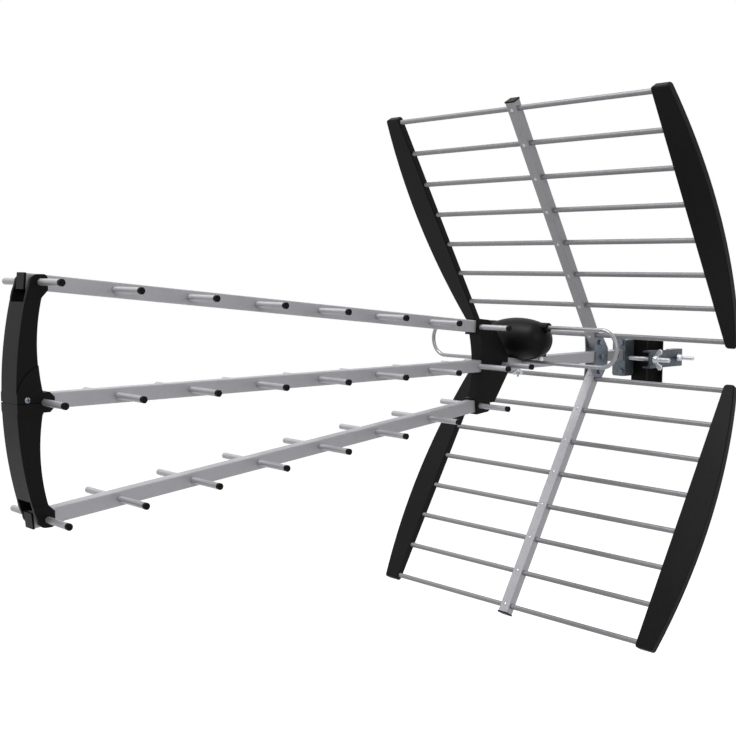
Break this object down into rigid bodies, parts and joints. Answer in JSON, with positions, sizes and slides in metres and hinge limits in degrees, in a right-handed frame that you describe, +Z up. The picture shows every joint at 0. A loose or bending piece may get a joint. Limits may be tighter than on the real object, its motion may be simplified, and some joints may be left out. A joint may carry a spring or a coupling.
{
  "type": "uhf tv antenna",
  "caption": "Outdoor UHF television antenna with three converging director booms, a folded dipole in a black housing, a two-panel corner reflector and a mast clamp",
  "frame": {"origin": "axis of the mast in the clamp, at the height of the middle boom's axis", "axes": "+Z up along the mast, -Y towards the antenna's front along the booms, +X along the rods on the side where the mast stands"},
  "size_m": [0.599, 1.1925, 0.8044],
  "materials": {
    "extruded_aluminium": "satin extruded",
    "black_plastic": "moulded satin",
    "zinc_plated_steel": "zinc plated",
    "brass_terminals": "turned",
    "circuit_board": "lacquered",
    "nickel_socket": "nickel plated"
  },
  "bodies": {
    "antenna": {"balun_board": "circuit_board", "bottom_boom": "extruded_aluminium", "bottom_director_1": "extruded_aluminium", "bottom_director_2": "extruded_aluminium", "bottom_director_3": "extruded_aluminium", "bottom_director_4": "extruded_aluminium", "bottom_director_5": "extruded_aluminium", "bottom_director_6": "extruded_aluminium", "bottom_director_7": "extruded_aluminium", "bottom_director_8": "extruded_aluminium", "bracket_screw": "zinc_plated_steel", "clamp_bolts": "zinc_plated_steel", "coaxial_socket": "nickel_socket", "cross_bolts": "zinc_plated_steel", "dipole_bolt": "zinc_plated_steel", "dipole_wing_nut": "zinc_plated_steel", "director_caps": "black_plastic", "end_plate": "zinc_plated_steel", "folded_dipole": "extruded_aluminium", "front_bracket_lower": "black_plastic", "front_bracket_upper": "black_plastic", "housing_base": "black_plastic", "housing_cover": "black_plastic", "junction_plates": "zinc_plated_steel", "lower_arm": "extruded_aluminium", "lower_left_rail": "black_plastic", "lower_reflector_rods": "extruded_aluminium", "lower_right_rail": "black_plastic", "mast_block": "black_plastic", "middle_boom": "extruded_aluminium", "middle_director_1": "extruded_aluminium", "middle_director_2": "extruded_aluminium", "middle_director_3": "extruded_aluminium", "middle_director_4": "extruded_aluminium", "middle_director_5": "extruded_aluminium", "middle_director_6": "extruded_aluminium", "middle_director_7": "extruded_aluminium", "middle_director_8": "extruded_aluminium", "middle_director_9": "extruded_aluminium", "rear_bracket_lower": "black_plastic", "rear_bracket_upper": "black_plastic", "rod_rivets": "extruded_aluminium", "terminal_posts": "brass_terminals", "terminal_screws": "brass_terminals", "top_boom": "extruded_aluminium", "top_director_1": "extruded_aluminium", "top_director_2": "extruded_aluminium", "top_director_3": "extruded_aluminium", "top_director_4": "extruded_aluminium", "top_director_5": "extruded_aluminium", "top_director_6": "extruded_aluminium", "top_director_7": "extruded_aluminium", "top_director_8": "extruded_aluminium", "tube_plugs": "black_plastic", "upper_arm": "extruded_aluminium", "upper_left_rail": "black_plastic", "upper_reflector_rods": "extruded_aluminium", "upper_right_rail": "black_plastic"},
    "jaw": {"mast_jaw": "zinc_plated_steel", "jaw_wing_nuts": "zinc_plated_steel"}
  },
  "joints": [
    {"name": "jaw_slide", "type": "slide", "parent": "antenna", "child": "jaw", "axis": [1, 0, 0], "range_m": [-0.0075, 0.014]}
  ]
}
